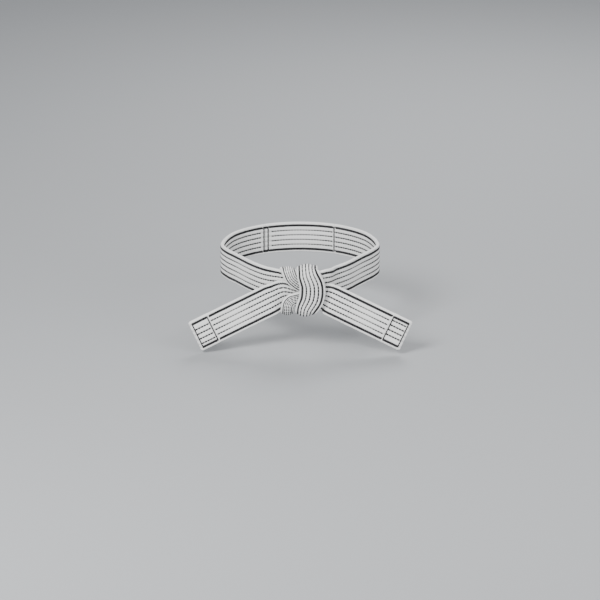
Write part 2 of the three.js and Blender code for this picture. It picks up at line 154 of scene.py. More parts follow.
def quarter_turn(x, y, radius, to_middle, vertical, share, level=STRAND):
    """A strand turns within its layer, from level to upright at x. vertical is 1 for upwards."""
    made = []
    for i in range(4):
        angle = math.pi / 6 * i
        across = x + to_middle * radius * (1 - math.sin(angle))
        away = level + radius * (1 - math.cos(angle))
        made.append(in_knot(across, y, vertical * away, FRONT, share))
    return made


def end_bend(x, from_layer, to_layer, base, rise, vertical, facing, share, drift=0.0):
    """A strand folds over the knot's top or bottom, from one layer to another. It shifts
    sideways by twice the drift."""
    middle, reach = (from_layer + to_layer) / 2, (from_layer - to_layer) / 2
    made = []
    for degrees in (45, 90, 135):
        angle = math.radians(degrees)
        y = middle + reach * math.cos(angle)
        z = vertical * (base + rise * math.sin(angle))
        outwards = (0, facing * math.copysign(1, reach) * math.cos(angle),
                    facing * vertical * math.sin(angle))
        made.append(in_knot(x + drift * (degrees / 90 - 1), y, z, outwards, share))
    return made


def left_knot():
    """From the left tail under the knot, up its front as the wrap, and back to the waist."""
    radius, base = 17.0, STRAND + 17.0
    top, middle, bottom = 8.5, 14.5, 5.0
    tail, standing, wrap = LAYER["left_tail"], LAYER["left_standing"], LAYER["wrap"]
    return [
        *exit_stations("left"),
        in_knot(-25, tail, -7.8, (0, -1, 0.04), 0.88),
        *quarter_turn(bottom, tail, radius, -1, -1, 0.62),
        *end_bend(bottom, tail, wrap, base, 9.5, -1, -1, 0.62),
        in_knot(bottom + 1.5, wrap, -base, BACK, 0.68),
        in_knot(middle - 0.5, wrap - 1, -9, BACK, 0.8),
        in_knot(middle + 0.5, wrap - 1, 9, BACK, 0.8),
        in_knot(top + 1, wrap, base, BACK, 0.72),
        *end_bend(top - 0.5, wrap, standing, base, 8.5, 1, -1, 0.66),
        *reversed(quarter_turn(top, standing, radius, -1, 1, 0.62)),
        in_knot(-19, standing, 6.8, FRONT, 0.68),
        in_knot(-31, standing + 0.8, 5.4, (-0.15, -1, 0), 0.92),
    ]


def right_knot():
    """From the waist across the knot's front, over its top, down its back and to the right
    tail."""
    level, radius, upper = 12.0, 11.5, 20.0
    lower = level + radius
    top, bottom = -19.0, -19.5
    tail, standing, turn = LAYER["right_tail"], LAYER["right_standing"], LAYER["back_turn"]
    return [
        in_knot(34, standing + 3.5, 6.4, (0.15, -1, 0), 1.0),
        in_knot(19, standing, 6, FRONT, 0.82),
        in_knot(8, standing, 4, FRONT, 0.54),
        in_knot(-0.5, standing, 7, FRONT, 0.48),
        in_knot(-8, standing, 12, FRONT, 0.46),
        in_knot(-13.2, standing, 17.4, FRONT, 0.46),
        *end_bend(top + 1, standing, turn, upper, 7, 1, 1, 0.47, -2),
        in_knot(top - 1.8, turn, upper, BACK, 0.5),
        in_knot(top - 1.6, turn + 2, 7, BACK, 0.6),
        in_knot(bottom, turn + 2, -8, BACK, 0.62),
        in_knot(bottom, turn, -lower, BACK, 0.5),
        *end_bend(bottom, turn, tail, lower, 12.5, -1, 1, 0.42),
        *reversed(quarter_turn(bottom, tail, radius, 1, -1, 0.4, level)),
        in_knot(4, tail, -11, FRONT, 0.5),
        in_knot(16, tail, -9.6, FRONT, 0.68),
        in_knot(28, tail + 0.6, -9.4, (0, -1, 0.06), 0.85),
        *reversed(exit_stations("right")),
    ]


def waist_side(side):
    """From the knot to the widest place of the loop. side is -1 on the left and 1 on the
    right."""
    made = []
    for across, forward, z, normal in (
        (0.175, 0.817, -2, (0.6, -0.8, 0)),
        (0.403, 0.675, -1, (0.75, -0.65, 0)),
        (0.685, 0.417, 0, (0.85, -0.5, 0)),
        (0.9, 0.2, 0, (0.9, -0.4, 0)),
    ):
        x = KNOT_EDGE + across * (LOOP_HALF_WIDTH - KNOT_EDGE)
        outwards = (side * normal[0], normal[1], 0)
        made.append(at(side * x, forward * KNOT[1], z, outwards))
    return made


BACK_STEP = 30.0  # degrees from one station of the back to the next


def waist_back():
    """Half an ellipse, from the left to the right."""
    made = []
    for i in range(7):
        angle = math.radians(BACK_STEP * (i - 3))
        x, y = math.sin(angle), math.cos(angle)
        made.append(at(LOOP_HALF_WIDTH * x, LOOP_BACK_DEPTH * y, 0, (x, y, 0)))
    return made


left_part, right_part, back_part = left_knot(), right_knot(), waist_back()
left_side, right_side = waist_side(-1), waist_side(1)[::-1]
stations = [*left_part, *left_side, *back_part, *right_side, *right_part]
FLAT_START = len(left_part)
BACK_MIDDLE = FLAT_START + len(left_side) + len(back_part) // 2
RIGHT_KNOT_START = len(stations) - len(right_part)
FLAT_END = RIGHT_KNOT_START - 1
LEFT_EXIT, RIGHT_EXIT = 1, len(stations) - 2


def spline(values, places, centripetal):
    """Catmull-Rom through values at each whole place: the values and slopes at these places."""
    p = np.vstack([2 * values[0] - values[1], values, 2 * values[-1] - values[-2]])
    i = np.clip(np.floor(places).astype(int), 0, len(values) - 2)
    w = (places - i)[:, None]
    a, b, c, d = p[i], p[i + 1], p[i + 2], p[i + 3]
    if centripetal:
        steps = [np.sqrt(np.linalg.norm(x, axis=1))[:, None] for x in (b - a, c - b, d - c)]
        s0, s1, s2 = (np.maximum(step, 1e-4) for step in steps)
        t1 = ((b - a) / s0 - (c - a) / (s0 + s1) + (c - b) / s1) * s1
        t2 = ((c - b) / s1 - (d - b) / (s1 + s2) + (d - c) / s2) * s1
    else:
        t1, t2 = (c - a) / 2, (d - b) / 2
    c2, c3 = -3 * b + 3 * c - 2 * t1 - t2, 2 * b - 2 * c + t1 + t2
    return b + w * (t1 + w * (c2 + w * c3)), t1 + w * (2 * c2 + w * 3 * c3)


def unit(v):
    return v / np.linalg.norm(v, axis=-1, keepdims=True)


SAMPLES_PER_STATION = 60
TAIL_SAMPLES = 120
TAIL_SPARE = 4.0  # how far the table runs on past each tip


def make_route():
    """A table of frames along the whole belt, from the left tip to the right tip."""
    spans = RIGHT_EXIT - LEFT_EXIT
    places = np.linspace(LEFT_EXIT, RIGHT_EXIT, SAMPLES_PER_STATION * spans + 1)
    point, slope = spline(np.array([s[0] for s in stations]), places, True)
    normal, _ = spline(np.array([s[1] for s in stations]), places, False)
    share, _ = spline(np.array([[s[2]] for s in stations]), places, False)
    length = np.concatenate([[0], np.cumsum(np.linalg.norm(np.diff(point, axis=0), axis=1))])
    reach = {side: np.linspace(0.5, TAIL_LENGTH[side] + TAIL_SPARE, TAIL_SAMPLES)
             for side in SIDES}
    line = {side: EXIT[side] + TAIL_DIRECTION[side] * reach[side][:, None] for side in SIDES}
    ones = np.ones((TAIL_SAMPLES, 1))
    tail_normal = np.array(TAIL_NORMAL) * ones
    table = {
        "s": np.concatenate([-reach["left"][::-1], length, length[-1] + reach["right"]]),
        "place": np.concatenate([ones[:, 0] * LEFT_EXIT, places, ones[:, 0] * RIGHT_EXIT]),
        "point": np.vstack([line["left"][::-1], point, line["right"]]),
        "share": np.vstack([ones, share, ones]),
    }
    tangent = np.vstack([-TAIL_DIRECTION["left"] * ones, unit(slope),
                         TAIL_DIRECTION["right"] * ones])
    normal = np.vstack([tail_normal, normal, tail_normal])
    along = np.sum(normal * tangent, axis=1, keepdims=True)
    table["face"] = unit(normal - tangent * along)
    table["across"] = np.cross(table["face"], tangent)
    return table


ROUTE = make_route()
ROUTE_LENGTH = float(ROUTE["s"][-1] - TAIL_LENGTH["right"] - TAIL_SPARE)  # from exit to exit


def look_up(key, s):
    table = ROUTE[key]
    return np.stack([np.interp(s, ROUTE["s"], table[:, i]) for i in range(table.shape[1])], -1)


def place_to_s(place):
    """How far along the belt a place counted in stations lies."""
    inside = (ROUTE["s"] >= 0) & (ROUTE["s"] <= ROUTE_LENGTH)
    return float(np.interp(place, ROUTE["place"][inside], ROUTE["s"][inside]))


def tail_s(side, reach):
    """How far along the belt a place on a tail lies, from its distance beyond the knot."""
    return -reach if side == "left" else ROUTE_LENGTH + reach


# ---------------------------------------------------------------- the belt's surface


def stops(*places, first=0):
    """Where a ramp starts, is full, starts to end and has ended, in stations from the first."""
    return [place_to_s(first + place) for place in places]


WRAP = stops(9.0, 11.0, 14.0, 16.0)
WRAP_BOTTOM = stops(7.2, 8.8, 9.3, 11.0)
WRAP_TOP = stops(14.0, 15.7, 16.3, 17.8)
CROSSING = stops(1.5, 3.0, 7.0, 9.0, first=RIGHT_KNOT_START)
TURN = stops(7.5, 9.5, 12.0, 14.0, first=RIGHT_KNOT_START)
TURN_TOP = stops(5.2, 6.8, 7.2, 8.8, first=RIGHT_KNOT_START)
TURN_BOTTOM = stops(12.2, 13.8, 14.2, 15.8, first=RIGHT_KNOT_START)

SEAM_SINK = 0.32  # how far a row of stitches pulls each face in
PUFF_HEIGHT = 0.62  # how far the wadding stands up between two rows
FULLY_GATHERED = 0.38  # the share of the width that is lost where the gathers are deepest
HEAVY_ROW_REACH = 1.9  # how far from a heavy row the cloth is pressed flat
PUCKER = 0.07  # how far each stitch pulls the cloth in


def ramp(s, ends):
    """0 outside the stops, 1 between the middle two, smooth in between."""
    up = np.clip((s - ends[0]) / (ends[1] - ends[0]), 0, 1)
    down = np.clip((ends[3] - s) / (ends[3] - ends[2]), 0, 1)
    x = np.minimum(up, down)
    return x * x * (3 - 2 * x)


def waves(s, u, seed, scale):
    """Gentle unevenness between -1 and 1 that is the same on each run."""
    rng = np.random.default_rng(seed)
    total = np.zeros(np.broadcast(s, u).shape)
    for _ in range(6):
        along, across = rng.uniform(0.6, 1.6) / scale, rng.uniform(-1.0, 1.0) / scale
        total = total + np.sin(2 * math.pi * (along * s + across * u) + rng.uniform(0, 6.28))
    return total / 6


def puff(u, rows):
    """How full each channel of the quilting is: 0 on a row of stitches, 1 between two rows."""
    edge = HALF_WIDTH + EDGE_REACH
    seams = np.concatenate([[-edge], rows, [edge]])
    i = np.clip(np.searchsorted(seams, u) - 1, 0, len(seams) - 2)
    x = np.clip((u - seams[i]) / (seams[i + 1] - seams[i]), 0, 1)
    full = np.clip(np.sin(math.pi * x), 0, 1) ** 0.8
    return np.where(np.abs(u) > rows[-1] + EDGE_REACH, 1.0, full)


def knot_depth(s, side):
    """How much deeper than usual the pleats are, on the strands that show on the knot."""
    wrap = ramp(s, WRAP) * (side < 0)
    turn = ramp(s, TURN) * (side > 0)
    crossing = ramp(s, CROSSING) * (side > 0)
    return 1.15 * wrap + 0.9 * turn + 0.4 * crossing


def height(s, u, side, rows=ROWS, extra=0.0):
    """Half the belt's thickness at a place, on one of its faces."""
    share = look_up("share", s)[..., 0]
    gathered = np.clip((1 - share) / FULLY_GATHERED, 0, 1)
    channel = puff(u, rows)
    low = HALF_THICKNESS - SEAM_SINK - 0.1 * gathered
    deep = PUFF_HEIGHT + 0.25 * gathered + knot_depth(s, side)
    uneven = 0.75 + 0.25 * waves(s, 0, 3, 60)
    heavy_row = np.exp(-((np.abs(u) - rows[-1]) / HEAVY_ROW_REACH) ** 4)
    pucker = PUCKER * np.cos(2 * math.pi * s / PITCH) * (1 - channel)
    full = low + deep * channel * uneven * (1 - 0.75 * heavy_row) + pucker
    return full + 0.1 * waves(s, u, 7 + int(side > 0), 34) + extra


def arch(s, u):
    """How far the belt's middle stands out, and its edges sink, where it rounds over the knot."""
    q = 1 - (u / HALF_WIDTH) ** 2
    wrap_bends = ramp(s, WRAP_TOP) + ramp(s, WRAP_BOTTOM)
    turn_bends = ramp(s, TURN_TOP) + ramp(s, TURN_BOTTOM)
    wrap = ramp(s, WRAP) * (2.6 * q - 1.0) + wrap_bends * (6.5 * q - 6.0)
    turn = ramp(s, TURN) * (2.4 * q - 1.0) + turn_bends * (3.4 * q - 3.0)
    return turn - wrap + 0.25 * waves(s, 0, 11, 90) * (1 - ramp(s, WRAP))


def spread(s, u):
    """How far from the middle line a place across the belt lies, where it is gathered. The
    folded edges keep their size."""
    share = look_up("share", s)[..., 0]
    scaled = (share * HALF_WIDTH - RIM) / FACE_HALF_WIDTH
    past = np.abs(u) - FACE_HALF_WIDTH
    return np.where(past <= 0, u * scaled, np.sign(u) * (FACE_HALF_WIDTH * scaled + past))


def on_route(s, x, h):
    """Points x across the belt's middle line and h out from it."""
    return (look_up("point", s) + look_up("across", s) * x[..., None]
            + look_up("face", s) * h[..., None])


def surface(s, u, side, lift=0.0, rows=ROWS, extra=0.0):
    """Points on one face of the belt. s and u are arrays of one shape."""
    h = side * (height(s, u, side, rows, extra) + lift) + arch(s, u)
    return on_route(s, spread(s, u), h)


# ---------------------------------------------------------------- making meshes


def make_object(name, points, faces, material, attributes, flat_faces=()):
    """points are in mm, faces is a list of quads and triangles, and an attribute is a name, a
    kind and a value for each point."""
    mesh = bpy.data.meshes.new(name)
    mesh.from_pydata((points * MM).tolist(), [], faces)
    mesh.polygons.foreach_set("use_smooth", [True] * len(faces))
    for f in flat_faces:
        mesh.polygons[f].use_smooth = False
    for key, kind, values in attributes:
        layer = mesh.attributes.new(key, kind, "POINT")
        layer.data.foreach_set("vector" if kind == "FLOAT_VECTOR" else "value",
                               np.asarray(values, np.float32).ravel())
    mesh.materials.append(material)
    mesh.update()
    made = bpy.data.objects.new(name, mesh)
    bpy.context.scene.collection.objects.link(made)
    face_out(mesh)
    return made


def face_out(mesh):
    """Turns the faces outwards, so that the enclosed volume is positive."""
    co = np.zeros(len(mesh.vertices) * 3)
    mesh.vertices.foreach_get("co", co)
    co = co.reshape(-1, 3)
    mesh.calc_loop_triangles()
    tri = np.zeros(len(mesh.loop_triangles) * 3, int)
    mesh.loop_triangles.foreach_get("vertices", tri)
    a, b, c = (co[tri.reshape(-1, 3)[:, i]] for i in range(3))
    if np.einsum("ij,ij->i", a, np.cross(b, c)).sum() < 0:
        mesh.flip_normals()
    mesh.update()


FACE_SAMPLES = 53


def section():
    """The outline of the belt's section: u, which face it is on, and how much of the face's
    height it has there, which is less round the rim."""
    face = np.linspace(-FACE_HALF_WIDTH, FACE_HALF_WIDTH, FACE_SAMPLES)
    ones = np.ones(FACE_SAMPLES)
    angles = np.radians([64, 38, 13, -13, -38, -64])
    rim = FACE_HALF_WIDTH + RIM * np.cos(angles)
    rim_side = np.sign(angles)
    rim_sink = np.abs(np.sin(angles))
    u = np.concatenate([face, rim, face[::-1], -rim[::-1]])
    side = np.concatenate([ones, rim_side, -ones, rim_side[::-1]])
    sink = np.concatenate([ones, rim_sink, ones, rim_sink[::-1]])
    return u, side, sink


SECTION_U, SECTION_SIDE, SECTION_SINK = section()


def band_points(s, rows, extra, profile):
    """The rings of a length of belt. The profile narrows and thins each ring."""
    grid_s, grid_u = np.meshgrid(s, SECTION_U, indexing="ij")
    rim = SECTION_SINK < 1
    height_u = np.where(rim, np.sign(grid_u) * FACE_HALF_WIDTH, grid_u)
    outer = height(grid_s, height_u, 1, rows, extra)
    inner = height(grid_s, height_u, -1, rows, extra)
    h = np.where(SECTION_SIDE > 0, outer, -inner) * SECTION_SINK
    x = spread(grid_s, grid_u)
    if profile is not None:
        width, thickness = profile(s)
        h = h * thickness[:, None]
        x = x * width[:, None]
    return on_route(grid_s, x, h + arch(grid_s, grid_u))


RING_STEP = 1.6
CHANNEL_SHADE_REACH = 1.4  # how far from a row the painted shade reaches
WORN_START, WORN_WIDTH = 19.5, 2.6  # where the edges are worn


def band(name, start, end, rows=ROWS, extra=0.0, profile=None, more_rings=()):
    """A closed length of the quilted belt between two places."""
    count = max(int(round((end - start) / RING_STEP)), 4) + 1
    s = np.unique(np.concatenate([np.linspace(start, end, count), more_rings]))
    points = band_points(s, rows, extra, profile)
    n, m = points.shape[:2]
    i, k = np.meshgrid(np.arange(n - 1), np.arange(m), indexing="ij")
    k2 = (k + 1) % m
    quads = np.stack([i * m + k, i * m + k2, (i + 1) * m + k2, (i + 1) * m + k], -1)
    faces = quads.reshape(-1, 4).tolist()
    caps = [[n * m, (j + 1) % m, j] for j in range(m)]
    caps += [[n * m + 1, (n - 1) * m + j, (n - 1) * m + (j + 1) % m] for j in range(m)]
    flat_faces = range(len(faces), len(faces) + len(caps))
    vertices = np.vstack([points.reshape(-1, 3), points[0].mean(0), points[-1].mean(0)])

    length = np.cumsum(np.abs(np.diff(SECTION_U, prepend=SECTION_U[0])))
    cloth = np.zeros((n, m, 3))
    cloth[..., 0] = length * MM
    cloth[..., 1] = s[:, None] * MM
    grid_s = np.broadcast_to(s[:, None], (n, m))
    pleated = np.where(SECTION_SIDE > 0, knot_depth(grid_s, 1), knot_depth(grid_s, -1))
    # painted shade: the cloth is darkened near each row, in the channels, and more on the deeper
    # pleats of the knot
    seam = np.exp(-((SECTION_U[:, None] - rows) / CHANNEL_SHADE_REACH) ** 2).max(-1)
    seam = seam * (SECTION_SINK >= 1) * (0.5 + 0.4 * np.clip(pleated, 0, 1))
    worn = np.clip((np.abs(SECTION_U) - WORN_START) / WORN_WIDTH, 0, 1)
    worn = np.broadcast_to(worn, (n, m))

    def with_caps(values):
        values = values.reshape(n * m, -1)
        return np.concatenate([values, np.zeros((2, values.shape[1]))])

    attributes = (("cloth", "FLOAT_VECTOR", with_caps(cloth)),
                  ("seam", "FLOAT", with_caps(seam)), ("worn", "FLOAT", with_caps(worn)))
    return make_object(name, vertices, faces + caps, COTTON, attributes, flat_faces)


# ---------------------------------------------------------------- making stitches

# A stitch is a plump grain: four rings of six points, and a point at each end.
GRAIN_OFFSETS = np.array([-1.0, -0.86, -0.4, 0.4, 0.86, 1.0])
RING_SIZE = np.array([0.62, 1.0, 1.0, 0.62])
RING_ANGLES = np.radians([90, 30, -30, -90, -150, 150])
END_SAG = 0.3  # how far a stitch's ends go down into the cloth
PLEAT_LIFT = 0.35  # how far a stitch stands up in a deeper pleat, as a share of its depth
TWIST_SHIFT = 0.37  # how far the thread's twist moves on from one stitch to the next


def grain_faces(count):
    r, m = len(RING_SIZE), len(RING_ANGLES)
    quads, caps = [], []
    for i in range(r - 1):
        for k in range(m):
            k2 = (k + 1) % m
            quads.append([i * m + k, i * m + k2, (i + 1) * m + k2, (i + 1) * m + k])
    for k in range(m):
        k2 = (k + 1) % m
        caps.append([r * m, k2, k])
        caps.append([r * m + 1, (r - 1) * m + k, (r - 1) * m + k2])
    shift = (np.arange(count) * (r * m + 2))[:, None, None]
    faces = (np.array(quads) + shift).reshape(-1, 4).tolist()
    return faces + (np.array(caps) + shift).reshape(-1, 3).tolist()


def stitches(name, group, side, rows=ROWS, extra=0.0, lift=0.2):
    """A group of stitches as one piece. Each lies on the cloth, along its slant, which is given
    as (along the belt, across the belt)."""
    s, u, half_length, slant, width, rise = group
    reach = GRAIN_OFFSETS * half_length[:, None]
    ss, uu = s[:, None] + reach * slant[:, :1], u[:, None] + reach * slant[:, 1:]
    sag = -END_SAG * np.abs(GRAIN_OFFSETS) ** 3
    lift = lift + sag + PLEAT_LIFT * knot_depth(ss, side)
    base = surface(ss, uu, side, lift, rows, extra)
    line = unit(np.gradient(base, axis=1))
    out = look_up("face", ss) * side
    out = unit(out - line * np.sum(out * line, -1, keepdims=True))
    aside = np.cross(line, out)
    across = np.cos(RING_ANGLES) * RING_SIZE[:, None] * (width[:, None, None] / 2)
    upwards = np.sin(RING_ANGLES) * RING_SIZE[:, None] * rise[:, None, None]
    rings = (base[:, 1:-1, None] + aside[:, 1:-1, None] * across[..., None]
             + out[:, 1:-1, None] * upwards[..., None])
    count, r, m = rings.shape[:3]
    points = np.concatenate([rings.reshape(count, r * m, 3), base[:, :1], base[:, -1:]], axis=1)
    twist = np.zeros(points.shape)
    offsets = np.concatenate([np.repeat(GRAIN_OFFSETS[1:-1], m), [-1.0, 1.0]])
    twist[..., 0] = offsets * half_length[:, None]
    twist[..., 1] = np.concatenate([np.tile(np.degrees(RING_ANGLES) / 60, r), [0, 0]])
    twist[..., 2] = np.arange(count)[:, None] * TWIST_SHIFT
    attributes = (("cloth", "FLOAT_VECTOR", twist * MM),)
    return make_object(name, points.reshape(-1, 3), grain_faces(count), THREAD, attributes)


EDGE_STITCH = {"half_length": 2.15, "slant": (0.42, 0.907), "width": 1.6, "rise": 0.6}
CROSS_STITCH = {"half_length": 1.45, "slant": (0.0, 1.0), "width": 2.1, "rise": 0.75}
CROSS_STITCHES = 15
INNER_STITCH = {"half_length": 0.51 * PITCH, "slant": (1.0, 0.0), "rise": 0.55}
# the extra width of the inner rows is painted shade
INNER_WIDTH, BOLD_EXTRA = 1.3, 1.2
ROW_WOBBLE = 0.1
ROW_MARGIN = 0.3  # how much nearer than half a stitch a row comes to an open end


def stitch_group(s, u, half_length, slant, width, rise):
    """Stitches as six arrays. What is given as one value holds for them all."""
    n = max(np.size(s), np.size(u))
    s, u, half_length, width, rise = (np.broadcast_to(x, n)
                                      for x in (s, u, half_length, width, rise))
    return [s, u, half_length, np.tile(slant, (n, 1)), width, rise]


def joined(*groups):
    return [np.concatenate(x) for x in zip(*groups)]


def painted_shade_boldness(s):
    """The inner rows are real stitching whose width is painted shade: bold near the knot, the tips
    and the sides of the loop, and finest, as a painted highlight, half way along each visible
    run. 0 is fine and 1 is bold."""
    finest = ((tail_s("left", 52), 22), (tail_s("right", 52), 22), (place_to_s(BACK_MIDDLE), 40),
              (place_to_s(FLAT_START + 1.6), 24), (place_to_s(FLAT_END - 1.6), 24))
    near = sum(np.exp(-((s - place) / reach) ** 2) for place, reach in finest)
    return 1 - np.clip(near, 0, 1)


def row_stitches(low, high, rows=ROWS, open_low=True, open_high=True):
    """The plain inner rows, and the heavy rows by the edges, whose stitches lie close together
    at a slant. At an open end the row stops inside the length; at the others it runs on into
    the next piece."""
    groups = []
    for i, u in enumerate(rows):
        heavy = i in EDGE_ROWS
        pitch = EDGE_PITCH if heavy else PITCH
        margin = pitch / 2 - ROW_MARGIN
        first = low + (margin if open_low else 0)
        last = high - (margin if open_high else 0)
        s = np.arange(math.ceil(first / pitch), math.ceil(last / pitch)) * pitch
        across = u + ROW_WOBBLE * waves(s, 0, 20 + i, 23)
        if heavy:
            groups.append(stitch_group(s, across, **EDGE_STITCH))
        else:
            # wider rows as painted shade, finer ones as painted highlight
            width = INNER_WIDTH + BOLD_EXTRA * painted_shade_boldness(s)
            groups.append(stitch_group(s, across, width=width, **INNER_STITCH))
    return joined(*groups)


def cross_row(s):
    """A row that runs across the belt at s, from one edge row to the other."""
    return stitch_group(s, np.linspace(ROWS[0], ROWS[-1], CROSS_STITCHES), **CROSS_STITCH)


# ---------------------------------------------------------------- materials


def new_material(name):
    material = bpy.data.materials.new(name)
    material.use_nodes = True
    return material, material.node_tree, material.node_tree.nodes["Principled BSDF"]


def set_inputs(tree, node, inputs):
    """Each input is given as a value, or as the output that drives it."""
    for key, value in inputs.items():
        if isinstance(value, bpy.types.NodeSocket):
            tree.links.new(value, node.inputs[key])
        else:
            node.inputs[key].default_value = value


def add_node(tree, kind, output, inputs, **settings):
    """A new node's output."""
    node = tree.nodes.new(kind)
    for key, value in settings.items():
        setattr(node, key, value)
    set_inputs(tree, node, inputs)
    return node.outputs[output]


def attribute(tree, name, output="Fac"):
    return add_node(tree, "ShaderNodeAttribute", output, {}, attribute_name=name)


def turned(tree, vector, degrees):
    return add_node(tree, "ShaderNodeMapping", "Vector",
                    {"Vector": vector, "Rotation": (0, 0, math.radians(degrees))})


def wave(tree, vector, scale, distortion, **detail):
    inputs = {"Vector": vector, "Scale": scale, "Distortion": distortion, **detail}
    return add_node(tree, "ShaderNodeTexWave", "Fac", inputs)


def noise(tree, vector, scale, detail):
    return add_node(tree, "ShaderNodeTexNoise", "Fac",
                    {"Vector": vector, "Scale": scale, "Detail": detail})


def calculate(tree, operation, a, b):
    return add_node(tree, "ShaderNodeMath", 0, {0: a, 1: b}, operation=operation)


def mix(tree, factor, a, b):
    """Colour a where the factor is 0, and b where it is 1."""
    return add_node(tree, "ShaderNodeMix", 2, {0: factor, 6: a, 7: b}, data_type="RGBA")


def bump(tree, height_map, strength, distance):
    return add_node(tree, "ShaderNodeBump", "Normal",
                    {"Height": height_map, "Strength": strength, "Distance": distance})


def cotton_material():
    """Bleached cotton twill: a fine diagonal weave, uneven yarns, grey along the edges, and painted
    shade in the stitched channels."""
    material, tree, shader = new_material("cotton_twill")
    cloth = attribute(tree, "cloth", "Vector")
    coarse = {"Detail": 1.0, "Detail Scale": 2.0}
    twill = wave(tree, turned(tree, cloth, 32), 330, 0.6, **coarse)
    yarn = wave(tree, turned(tree, cloth, 90), 420, 0.4, **coarse)
    yarn = calculate(tree, "ADD", calculate(tree, "MULTIPLY", yarn, 0.4), 0.6)
    weave = calculate(tree, "MULTIPLY", twill, yarn)
    stretched = add_node(tree, "ShaderNodeMapping", "Vector",
                         {"Vector": cloth, "Scale": (5, 1, 1)})
    slubs = noise(tree, stretched, 260, 2)
    fuzz = noise(tree, cloth, 2600, 2)

    tone = mix(tree, noise(tree, cloth, 28, 3), (0.86, 0.86, 0.85, 1), (0.95, 0.95, 0.94, 1))
    tone = mix(tree, calculate(tree, "MULTIPLY", slubs, 0.3), tone, (0.80, 0.80, 0.78, 1))
    # painted shade in the stitched channels
    tone = mix(tree, attribute(tree, "seam"), tone, (0.34, 0.34, 0.33, 1))
    frayed = calculate(tree, "MULTIPLY", attribute(tree, "worn"), noise(tree, cloth, 420, 4))
    tone = mix(tree, calculate(tree, "MULTIPLY", frayed, 0.45), tone, (0.60, 0.59, 0.56, 1))
    gaps = calculate(tree, "MULTIPLY", calculate(tree, "SUBTRACT", 1.0, weave), 0.14)
    tone = mix(tree, gaps, tone, (0.60, 0.60, 0.58, 1))

    rough = calculate(tree, "ADD", calculate(tree, "MULTIPLY", slubs, 0.14), 0.76)
    relief = calculate(tree, "ADD", calculate(tree, "MULTIPLY", weave, 0.7),
                       calculate(tree, "MULTIPLY", fuzz, 0.3))
    relief = calculate(tree, "ADD", relief, calculate(tree, "MULTIPLY", slubs, 0.5))
    set_inputs(tree, shader, {
        "Base Color": tone,
        "Roughness": rough,
        "Normal": bump(tree, relief, 0.55, 0.00022),
        "Sheen Weight": 0.25,
        "Sheen Roughness": 0.45,
        "Specular IOR Level": 0.25,
    })
    return material


def thread_material():
    """Black cotton sewing thread, twisted and a little faded."""
    material, tree, shader = new_material("black_thread")
    cloth = attribute(tree, "cloth", "Vector")
    twist = wave(tree, turned(tree, cloth, 35), 420, 0.5)
    fade = noise(tree, cloth, 900, 2)
    colours = tree.nodes.new("ShaderNodeValToRGB")
    dark, faded = colours.color_ramp.elements
    dark.position, dark.color = 0.3, (0.006, 0.006, 0.007, 1)
    faded.position, faded.color = 0.8, (0.03, 0.03, 0.032, 1)
    set_inputs(tree, colours, {"Fac": fade})
    rough = add_node(tree, "ShaderNodeMapRange", "Result",
                     {"Value": fade, "To Min": 0.55, "To Max": 0.8})
    set_inputs(tree, shader, {
        "Base Color": colours.outputs["Color"],
        "Roughness": rough,
        "Normal": bump(tree, twist, 0.5, 0.00015),
        "Sheen Weight": 0.1,
        "Specular IOR Level": 0.25,
    })
    return material


COTTON = cotton_material()
THREAD = thread_material()

# ---------------------------------------------------------------- camera, light and floor

# A long lens from far away: the object is seen almost without perspective.
CAMERA_DISTANCE = 6.0
CAMERA_ELEVATION = 18.4
CAMERA_AIM = Vector((0, 0, -0.0623))
FOCAL_LENGTH = 252
LIGHTS_AIM = Vector((0, 0, -0.03))


def add_to_scene(made):
    bpy.context.scene.collection.objects.link(made)


def look_at(made, place, aim):
    made.location = place
    made.rotation_mode = "QUATERNION"
    made.rotation_quaternion = (aim - made.location).to_track_quat("-Z", "Y")


def make_camera():
    data = bpy.data.cameras.new("camera")
    data.lens, data.sensor_width = FOCAL_LENGTH, 36
    data.clip_start, data.clip_end = 0.05, 20
    camera = bpy.data.objects.new("camera", data)
    elevation = math.radians(CAMERA_ELEVATION)
    back = Vector((0, -math.cos(elevation), math.sin(elevation)))
    look_at(camera, CAMERA_AIM + back * CAMERA_DISTANCE, CAMERA_AIM)
    add_to_scene(camera)
    bpy.context.scene.camera = camera


def area_light(name, place, power, size):
    data = bpy.data.lights.new(name, "AREA")
    data.energy, data.size = power, size
    light = bpy.data.objects.new(name, data)
    look_at(light, Vector(place), LIGHTS_AIM)
    add_to_scene(light)


def make_studio():
    world = bpy.data.worlds.new("studio")
    world.use_nodes = True
    background = world.node_tree.nodes["Background"]
    background.inputs["Color"].default_value = (0.93, 0.95, 1.0, 1)
    background.inputs["Strength"].default_value = 0.45
    bpy.context.scene.world = world
    area_light("key", (-0.9, -1.3, 1.3), 52, 0.8)
    area_light("fill", (1.4, -1.2, 0.6), 20, 1.1)
    area_light("back", (0.4, 1.3, 1.2), 22, 0.9)


def make_floor():
    half, gap = 6.0, 0.002
    mesh = bpy.data.meshes.new("floor")
    corners = [(-half, -half, 0), (half, -half, 0), (half, half, 0), (-half, half, 0)]
    mesh.from_pydata(corners, [], [(0, 1, 2, 3)])
    floor = bpy.data.objects.new("floor", mesh)
    floor.location.z = float(cad_box[0].z) - gap
    add_to_scene(floor)
    material, tree, shader = new_material("floor")
    set_inputs(tree, shader, {"Base Color": (0.36, 0.37, 0.38, 1), "Roughness": 0.7})
    mesh.materials.append(material)


make_camera()
make_studio()
make_floor()

# ---------------------------------------------------------------- the waist and the knot

